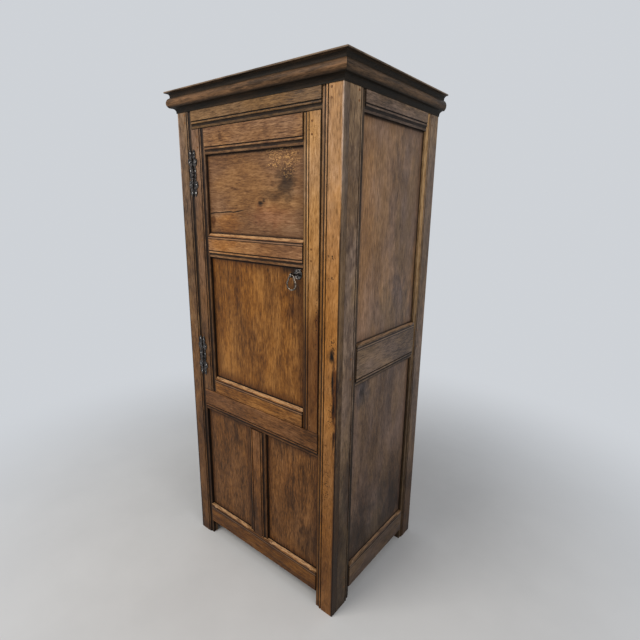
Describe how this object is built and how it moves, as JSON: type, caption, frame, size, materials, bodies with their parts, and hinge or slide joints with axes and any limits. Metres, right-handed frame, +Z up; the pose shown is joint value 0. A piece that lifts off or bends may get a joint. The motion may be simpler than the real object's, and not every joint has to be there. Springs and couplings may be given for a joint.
{
  "type": "food cupboard",
  "caption": "Tall joined oak food cupboard with framed panels, a hinged panelled door over a closed base, a moulded cornice, surface hinges and a drop ring pull that turns a latch.",
  "frame": {"origin": "on the floor, at the middle of the whole outline, cornice included", "axes": "+Z up, +Y from the door to the back, +X to the right as seen from the front"},
  "size_m": [0.807, 0.616, 1.82],
  "materials": {
    "oak_front": "waxed dark honey oak, worn edges",
    "oak_side": "waxed brown oak, duller than the front",
    "oak_door": "waxed honey oak",
    "oak_panel": "waxed dark brown oak",
    "oak_cornice": "waxed very dark oak",
    "oak_inside": "dry unpolished oak",
    "oak_peg": "waxed dark oak end grain",
    "iron": "dark wrought iron, rubbed edges"
  },
  "bodies": {
    "carcass": {"front_stile_left": "oak_front", "front_stile_right": "oak_front", "front_top_rail": "oak_front", "front_mid_rail": "oak_front", "front_bottom_rail": "oak_front", "front_muntin": "oak_front", "front_panel_left": "oak_panel", "front_panel_right": "oak_panel", "left_stile_front": "oak_side", "left_stile_back": "oak_side", "left_top_rail": "oak_side", "left_mid_rail": "oak_side", "left_bottom_rail": "oak_side", "left_upper_panel": "oak_panel", "left_lower_panel": "oak_panel", "right_stile_front": "oak_side", "right_stile_back": "oak_side", "right_top_rail": "oak_side", "right_mid_rail": "oak_side", "right_bottom_rail": "oak_side", "right_upper_panel": "oak_panel", "right_lower_panel": "oak_panel", "cornice_front": "oak_cornice", "cornice_left": "oak_cornice", "cornice_right": "oak_cornice", "top_board": "oak_inside", "bottom_board": "oak_inside", "back_top_rail": "oak_inside", "back_bottom_rail": "oak_inside", "shelf_lower": "oak_inside", "shelf_middle": "oak_inside", "shelf_upper": "oak_inside", "shelf_bearers": "oak_inside", "door_stops": "oak_inside", "back_board_1": "oak_inside", "back_board_2": "oak_inside", "back_board_3": "oak_inside", "back_board_4": "oak_inside", "pegs_carcass": "oak_peg", "upper_hinge_frame_leaf": "iron", "upper_hinge_pin": "iron", "lower_hinge_frame_leaf": "iron", "lower_hinge_pin": "iron", "hinge_nails_frame": "iron"},
    "door": {"door_stile_hinge": "oak_door", "door_stile_latch": "oak_door", "door_top_rail": "oak_door", "door_mid_rail": "oak_door", "door_bottom_rail": "oak_door", "door_upper_panel": "oak_panel", "door_lower_panel": "oak_panel", "pegs_door": "oak_peg", "upper_hinge_door_leaf": "iron", "lower_hinge_door_leaf": "iron", "hinge_nails_door": "iron", "pull_rosette": "iron", "spindle_bush": "iron"},
    "latch": {"pull_spindle": "iron", "latch_bar": "iron"},
    "ring": {"pull_ring": "iron"}
  },
  "joints": [
    {"name": "door_swing", "type": "hinge", "parent": "carcass", "child": "door", "pos_m": [-0.29575, -0.2812, 1.193], "axis": [0, 0, -1], "range_deg": [0, 170]},
    {"name": "latch_turn", "type": "hinge", "parent": "door", "child": "latch", "pos_m": [0.202, -0.277, 1.222], "axis": [0, -1, 0], "range_deg": [0, 90]},
    {"name": "ring_swing", "type": "hinge", "parent": "latch", "child": "ring", "pos_m": [0.202, -0.297, 1.222], "axis": [-1, 0, 0], "range_deg": [-20, 195]}
  ]
}
